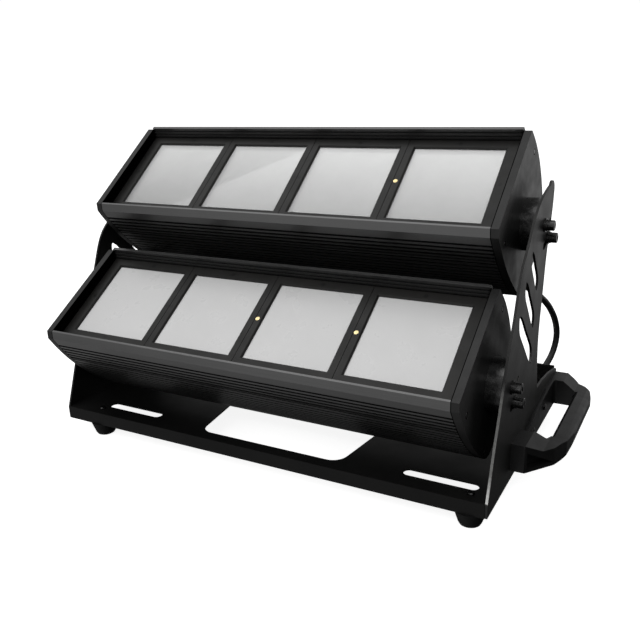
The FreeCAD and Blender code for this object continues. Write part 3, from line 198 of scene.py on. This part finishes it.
def drawn(name, dark, light, rough, shine):
    """An extruded finish with fine lines along X, and painted shade that darkens the grooves by ambient
    occlusion.
    """
    look = Look(name)
    lines = look.noise(0.0011, detail=2, scale=(0.004, 1, 1))
    slow = look.noise(0.09)
    both = look.math("ADD", lines, slow)
    tone = look.ramp(look.spread(both, 0, 1, 0.7, 1.3), [(0.2, dark), (0.8, light)])
    # Painted shade: where ambient occlusion finds a groove, the colour goes to near black and the sheen is
    # cut.
    groove_shade = look.add("ShaderNodeAmbientOcclusion")
    groove_shade.samples = 6
    groove_shade.inputs["Distance"].default_value = 0.005
    unshaded_share = look.spread(groove_shade.outputs["AO"], 0, 1, 0.45, 0.9)
    look.base(look.blend(unshaded_share, grey(0.001), tone))
    look.link(look.math("MULTIPLY", unshaded_share, shine), look.shader.inputs["Specular IOR Level"])
    look.rough(look.spread(lines, *rough))
    look.normal(look.bump(look.noise(0.0011, detail=2, scale=(0.004, 1, 1)), 1.0, 0.000003,
                          look.bump(look.noise(0.0004, detail=1), 1.0, 0.000004)))
    return look.mat


def metal(name, dark, light, rough, patch=0.01, depth=0.000008):
    """A bare or plated metal: slow tone patches, uneven gloss and a fine grain."""
    look = Look(name)
    look.set(Metallic=1.0)
    look.base(look.ramp(look.noise(patch), [(0.35, dark), (0.65, light)]))
    look.rough(look.spread(look.noise(patch / 4), *rough))
    look.normal(look.bump(look.noise(0.0006, detail=1), 1.0, depth))
    return look.mat


# The upper windows' direction in Y and Z, and the distances along it between which the frost's painted
# shading grows paler
upper_slope = (0.798, 0.602)
upper_window_span = (0.155, 0.280)
pane_frost_share = (0.46, 0.50)


def clear_glass(name):
    """A lightly frosted pane, seen through, with painted shading on the frost that grows paler up the
    slope, reflecting more at a low angle.
    """
    look = Look(name)
    look.tree.nodes.remove(look.shader)
    through = look.add("ShaderNodeBsdfTransparent")
    through.inputs["Color"].default_value = (0.985, 0.99, 0.985, 1)
    frost = look.add("ShaderNodeBsdfDiffuse")
    at = look.parts(look.place)
    along = look.math("ADD", look.math("MULTIPLY", at["Y"], upper_slope[0]),
                      look.math("MULTIPLY", at["Z"], upper_slope[1]))
    # Painted shade on the frost: dark grey low on the slope to pale grey high up.
    shade = look.ramp(look.spread(along, 0, 1, *upper_window_span),
                      [(0.0, grey(0.42)), (1.0, grey(0.87))])
    look.link(shade, frost.inputs["Color"])
    body = look.add("ShaderNodeMixShader")
    look.link(look.spread(look.noise(0.05), *pane_frost_share), body.inputs[0])
    look.link(through.outputs[0], body.inputs[1])
    look.link(frost.outputs[0], body.inputs[2])
    fresnel = look.add("ShaderNodeFresnel")
    fresnel.inputs["IOR"].default_value = 1.5
    gloss = look.add("ShaderNodeBsdfGlossy")
    look.link(look.spread(look.noise(0.05), 0.015, 0.05), gloss.inputs["Roughness"])
    front = look.math("SUBTRACT", 1, look.add("ShaderNodeNewGeometry").outputs["Backfacing"])
    mix = look.add("ShaderNodeMixShader")
    look.link(look.math("MULTIPLY", fresnel.outputs[0], front), mix.inputs[0])
    look.link(body.outputs[0], mix.inputs[1])
    look.link(gloss.outputs[0], mix.inputs[2])
    look.link(mix.outputs[0], look.out.inputs[0])
    return look.mat


# Middle and half distance along X of each head's bare yellow screws, and how far their colour reaches
lower_yellow = (0.0735, 0.070)
upper_yellow = (0.1435, 0)
yellow_reach = (0.0035, 0.004)


def marked_screws(name, middle, half):
    """Dark screws, with bare yellow ones near the distance half from middle, both along X."""
    look = Look(name)
    look.set(Metallic=1.0)
    away = look.math("ABSOLUTE", look.math("SUBTRACT", look.parts(look.place)["X"], middle), 0)
    away = look.math("ABSOLUTE", look.math("SUBTRACT", away, half), 0)
    yellow = look.ramp(look.noise(0.004), [(0.35, (0.50, 0.40, 0.20)), (0.65, (0.72, 0.60, 0.34))])
    look.base(look.blend(look.spread(away, 1, 0, *yellow_reach), grey(0.02), yellow))
    look.rough(look.spread(look.noise(0.001), 0.3, 0.45))
    return look.mat


# Heights between which the painted highlight on the plate's front edge begins, ends and grows brighter
edge_highlight_bottom = (0.0380, 0.0395)
edge_highlight_top = (0.145, 0.165)
edge_highlight_rise = (0.035, 0.07)


def sheet_with_edge_highlight(name, dark, light, **values):
    """The side plate's paint, with a painted highlight on the front edge between two heights, brighter low
    down.
    """
    look = Look(name)
    look.set(**values)
    turned = look.parts(look.add("ShaderNodeTexCoord").outputs["Normal"])["Y"]
    facing = look.spread(turned, 1, 0, -0.75, -0.55)
    height = look.parts(look.place)["Z"]
    below = look.spread(height, 1, 0, *edge_highlight_top)
    between = look.math("MULTIPLY", below, look.spread(height, 0, 1, *edge_highlight_bottom))
    # Noise that breaks the painted highlight into patches.
    highlight_breakup = look.spread(look.noise(0.004), 0.6, 1)
    share = look.math("MULTIPLY", look.math("MULTIPLY", facing, between), highlight_breakup)
    paint = look.ramp(look.noise(0.12), [(0.35, dark), (0.65, light)])
    # The painted highlight runs from dull grey up high to near white low down.
    shine = look.spread(height, 1, 0, *edge_highlight_rise)
    highlight_tone = look.blend(shine, (0.16, 0.16, 0.155), (0.85, 0.85, 0.83))
    look.base(look.blend(share, paint, highlight_tone))
    look.rough(look.spread(look.noise(0.04), 0.40, 0.50))
    look.normal(look.bump(look.noise(0.0007, detail=2), 1.0, 0.000012))
    return look.mat


# Distances from the middle along X between which the dark seam ends and the cap's paint begins
cap_seam = (0.2888, 0.2892)


def seamed_cap(name, dark, light, shine):
    """The end caps' paint, with a dark line where a cap meets its housing."""
    look = Look(name)
    away = look.math("ABSOLUTE", look.parts(look.place)["X"], 0)
    clear = look.spread(away, 0, 1, *cap_seam)
    paint = look.ramp(look.noise(0.06), [(0.35, dark), (0.65, light)])
    look.base(look.blend(clear, grey(0.0005), paint))
    look.link(look.math("MULTIPLY", clear, shine), look.shader.inputs["Specular IOR Level"])
    look.rough(look.spread(look.noise(0.02), 0.36, 0.46))
    look.normal(look.bump(look.noise(0.0006, detail=2), 1.0, 0.00001))
    return look.mat


looks = {
    "painted_sheet": coated("powder_coat", grey(0.0045), (0.0075, 0.0075, 0.007), 0.12, (0.40, 0.50),
                            0.0007, 0.000012, Specular_IOR_Level=0.24),
    "black_aluminium": drawn("black_anodised", grey(0.014), grey(0.023), (0.30, 0.40), 0.85),
    "bezel_aluminium": coated("bezel_paint", (0.0055, 0.0055, 0.005), (0.0085, 0.008, 0.0075), 0.07,
                              (0.38, 0.48), 0.0006, 0.000008, Specular_IOR_Level=0.20),
    "bare_aluminium": metal("bare_aluminium", (0.55, 0.56, 0.57), (0.68, 0.69, 0.70), (0.3, 0.45), 0.04),
    "reflector_sheet": metal("reflector_sheet", grey(0.93), grey(0.96), (0.5, 0.56), 0.03, 0.0000003),
    "led_board": coated("solder_mask", (0.80, 0.80, 0.79), (0.86, 0.86, 0.85), 0.02, (0.4, 0.5),
                        0.001, 0.000003),
    "clear_glass": clear_glass("pane_glass"),
    "rubber": coated("black_rubber", grey(0.003), grey(0.005), 0.02, (0.6, 0.75),
                     0.0005, 0.00002, Specular_IOR_Level=0.14),
    "handle_plastic": coated("handle_plastic", grey(0.004), (0.007, 0.007, 0.0072), 0.05, (0.36, 0.48),
                             0.0008, 0.00001, Specular_IOR_Level=0.19),
    "light_plastic": coated("terminal_plastic", (0.62, 0.62, 0.58), (0.7, 0.7, 0.67), 0.02, (0.4, 0.5),
                            0.0008, 0.00001),
    "socket_plastic": coated("socket_plastic", grey(0.006), grey(0.010), 0.02, (0.2, 0.32),
                             0.0008, 0.00001),
    "socket_metal": metal("socket_metal", grey(0.03), grey(0.05), (0.3, 0.42)),
    "gland_plastic": coated("gland_nylon", grey(0.005), grey(0.009), 0.015, (0.38, 0.5),
                            0.0006, 0.00002, Specular_IOR_Level=0.4),
    "cable_rubber": coated("cable_jacket", grey(0.004), grey(0.008), 0.03, (0.42, 0.55),
                           0.0006, 0.00002, Specular_IOR_Level=0.35),
    "zinc_steel": metal("zinc_steel", (0.22, 0.22, 0.21), (0.36, 0.36, 0.34), (0.25, 0.4)),
    "black_steel": metal("black_steel", grey(0.035), grey(0.07), (0.2, 0.34)),
    "brass_screws": marked_screws("lower_bezel_steel", *lower_yellow),
    "gloss_black": coated("hub_gloss", grey(0.004), grey(0.009), 0.012, (0.12, 0.3),
                          0.003, 0.00002),
}


def pane_painted_reflection():
    """The lower head's panes: an even pale grey, a painted reflection standing in for their glass."""
    look = Look("pane_painted_reflection")
    look.base(look.ramp(look.noise(0.2, detail=2), [(0.3, grey(0.475)), (0.7, grey(0.50))]))
    look.rough(look.spread(look.noise(0.03), 0.25, 0.35))
    look.normal(look.bump(look.noise(0.0008, detail=1), 1.0, 0.000006))
    return look.mat


for name, obj in nodes.items():
    obj.data.materials.clear()
    obj.data.materials.append(looks[slot_of[name]])
# The lower panes get an opaque pale grey in place of glass: a painted reflection.
nodes["lower_window_panes"].data.materials[0] = pane_painted_reflection()
cap_look = seamed_cap("cap_paint", grey(0.005), grey(0.008), 0.24)
for name in ("upper_left_cap", "upper_right_cap", "lower_left_cap", "lower_right_cap"):
    nodes[name].data.materials[0] = cap_look
# The right side plate's paint carries a painted highlight on its front edge.
nodes["right_side_plate"].data.materials[0] = sheet_with_edge_highlight(
    "plate_paint_edge_highlight", grey(0.0045), (0.0075, 0.0075, 0.007), Specular_IOR_Level=0.3)
# The base pan gets a darker copy of the powder coat with less sheen: painted shade for its top, which lies
# under the heads.
nodes["base_pan"].data.materials[0] = coated(
    "base_paint_shaded", grey(0.0035), (0.006, 0.006, 0.0058), 0.12, (0.42, 0.52), 0.0007, 0.000012,
    Specular_IOR_Level=0.10)
nodes["foot_screws"].data.materials[0] = looks["black_steel"]
nodes["upper_bezel_screws"].data.materials[0] = marked_screws("upper_bezel_steel", *upper_yellow)


# Softened edges on the moulded handles

weld_reach = 0.00002
edge_softness = 0.0022
sharp_angle = 28

for name in ("left_handle", "right_handle"):
    weld = nodes[name].modifiers.new("weld", "WELD")
    weld.merge_threshold = weld_reach
    soft = nodes[name].modifiers.new("soft_edges", "BEVEL")
    soft.width = edge_softness
    soft.segments = 3
    soft.limit_method = "ANGLE"
    soft.angle_limit = math.radians(sharp_angle)


# The upper head's cable, a tube along a fixed route between the upper head and the base

route = [(0.272, 0.11818, 0.23913), (0.2724, 0.133, 0.220), (0.2765, 0.157, 0.200), (0.2865, 0.186, 0.182),
         (0.2935, 0.216, 0.162), (0.2975, 0.240, 0.141), (0.3005, 0.259, 0.119), (0.3025, 0.266, 0.0934),
         (0.299, 0.257, 0.067), (0.2925, 0.2335, 0.051), (0.2925, 0.20195, 0.051)]
cable_radius = 0.00475


def spline_curve(name, points, radius):
    """A smooth curve along the points, as a line where the radius is 0 and else as a tube."""
    data = bpy.data.curves.new(name, "CURVE")
    data.dimensions = "3D"
    data.resolution_u = 10
    spline = data.splines.new("NURBS")
    spline.points.add(len(points) - 1)
    for point, at in zip(spline.points, points):
        point.co = (*at, 1)
    spline.order_u = 3
    spline.use_endpoint_u = True
    data.bevel_depth = radius
    data.bevel_resolution = 6
    data.use_fill_caps = radius > 0
    return bpy.data.objects.new(name, data)


def as_mesh(curve, name):
    """The curve turned into a mesh object."""
    scene.collection.objects.link(curve)
    bpy.context.view_layer.update()
    evaluated = curve.evaluated_get(bpy.context.evaluated_depsgraph_get())
    mesh = bpy.data.meshes.new_from_object(evaluated)
    bpy.data.objects.remove(curve)
    made = bpy.data.objects.new(name, mesh)
    scene.collection.objects.link(made)
    return made


def make_cable():
    """The cable's tube, bent between the upper head and the base."""
    line = as_mesh(spline_curve("line", route, 0), "line")
    bpy.data.objects.remove(line)
    cable = as_mesh(spline_curve("tube", route, cable_radius), "upper_cable")
    cable.data.materials.clear()
    cable.data.materials.append(looks["cable_rubber"])
    for face in cable.data.polygons:
        face.use_smooth = True
    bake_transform(cable)
    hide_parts("upper_head_cable")


make_cable()


# Stage: pale floor, soft lights

floor_reach = 30
floor_glow = 0.88
backdrop_level = 1.02
# Brightness of the surroundings by height, from straight down (0) to straight up (1)
sky_stops = [(0.0, 0.01), (0.36, 0.03), (0.5, 0.16), (0.62, 0.30), (0.82, 0.75), (1.0, 1.0)]
# Soft glows: direction, where the glow begins as a cosine, level, whether it fades below the horizon
glows = [((-0.22, -0.95, -0.10), 0.80, 1.5, True), ((0.20, 0.95, -0.12), 0.78, 0.6, True),
         ((-0.50, -0.45, -0.70), 0.55, 0.5, False)]
horizon_fade = (-0.48, -0.2)
# Lights: name, place, target, size, power
lights = [("key", (0.6, -2.2, 2.2), (0, 0, 0.2), (1.0, 1.0), 14),
          ("top", (-0.9, -0.5, 2.6), (0, 0, 0), (2.0, 2.0), 22)]


def make_floor():
    """A pale floor that glows to the camera and lights nothing."""
    mesh = bpy.data.meshes.new("floor")
    bm = bmesh.new()
    bmesh.ops.create_grid(bm, x_segments=1, y_segments=1, size=floor_reach)
    bm.to_mesh(mesh)
    bm.free()
    floor = bpy.data.objects.new("floor", mesh)
    scene.collection.objects.link(floor)
    look = Look("floor_paper")
    look.base(look.ramp(look.noise(0.8), [(0.3, grey(0.50)), (0.7, grey(0.52))]))
    look.set(Roughness=0.9, Specular_IOR_Level=0.0)
    look.shader.inputs["Emission Color"].default_value = (1, 1, 1, 1)
    look.shader.inputs["Emission Strength"].default_value = floor_glow
    mesh.materials.append(look.mat)
    floor.visible_diffuse = False
    floor.visible_glossy = False


def make_world():
    """White to the camera; to the light's own faces a soft studio, pale above and dim below, with glows."""
    world = bpy.data.worlds.new("studio")
    scene.world = world
    world.use_nodes = True
    tree = world.node_tree
    tree.nodes.clear()

    def ranged(value, start, end, low, high, smooth=True):
        node = tree.nodes.new("ShaderNodeMapRange")
        node.interpolation_type = "SMOOTHSTEP" if smooth else "LINEAR"
        for name, number in (("From Min", start), ("From Max", end), ("To Min", low), ("To Max", high)):
            node.inputs[name].default_value = number
        tree.links.new(value, node.inputs["Value"])
        return node.outputs[0]

    def background(level):
        node = tree.nodes.new("ShaderNodeBackground")
        node.inputs["Color"].default_value = (*grey(1), 1)
        if isinstance(level, float):
            node.inputs["Strength"].default_value = level
        else:
            tree.links.new(level, node.inputs["Strength"])
        return node.outputs[0]

    way = tree.nodes.new("ShaderNodeTexCoord").outputs["Generated"]
    split = tree.nodes.new("ShaderNodeSeparateXYZ")
    tree.links.new(way, split.inputs[0])
    height = split.outputs["Z"]
    ramp = tree.nodes.new("ShaderNodeValToRGB")
    for at, level in sky_stops[1:-1]:
        ramp.color_ramp.elements.new(at)
    for element, (at, level) in zip(ramp.color_ramp.elements, sky_stops):
        element.position = at
        element.color = (*grey(level), 1)
    tree.links.new(ranged(height, -1, 1, 0, 1, smooth=False), ramp.inputs[0])
    fade = ranged(height, *horizon_fade, 0, 1)
    total = ramp.outputs[0]
    for aim, start, level, fades in glows:
        dot = tree.nodes.new("ShaderNodeVectorMath")
        dot.operation = "DOT_PRODUCT"
        tree.links.new(way, dot.inputs[0])
        dot.inputs[1].default_value = Vector(aim).normalized()
        both = tree.nodes.new("ShaderNodeMath")
        both.operation = "MULTIPLY_ADD"
        tree.links.new(ranged(dot.outputs["Value"], start, 1, 0, level), both.inputs[0])
        both.inputs[1].default_value = 1
        if fades:
            tree.links.new(fade, both.inputs[1])
        tree.links.new(total, both.inputs[2])
        total = both.outputs[0]
    mix = tree.nodes.new("ShaderNodeMixShader")
    tree.links.new(tree.nodes.new("ShaderNodeLightPath").outputs["Is Camera Ray"], mix.inputs[0])
    tree.links.new(background(total), mix.inputs[1])
    tree.links.new(background(backdrop_level), mix.inputs[2])
    out = tree.nodes.new("ShaderNodeOutputWorld")
    tree.links.new(mix.outputs[0], out.inputs[0])


def make_light(name, place, target, size, power):
    """A soft rectangular light at a place, turned to a target."""
    data = bpy.data.lights.new(name, "AREA")
    data.shape = "RECTANGLE"
    data.size, data.size_y = size
    data.energy = power
    light = bpy.data.objects.new(name, data)
    light.location = place
    light.rotation_mode = "QUATERNION"
    light.rotation_quaternion = (Vector(target) - Vector(place)).to_track_quat("-Z", "Y")
    scene.collection.objects.link(light)


make_floor()
make_world()
for light in lights:
    make_light(*light)
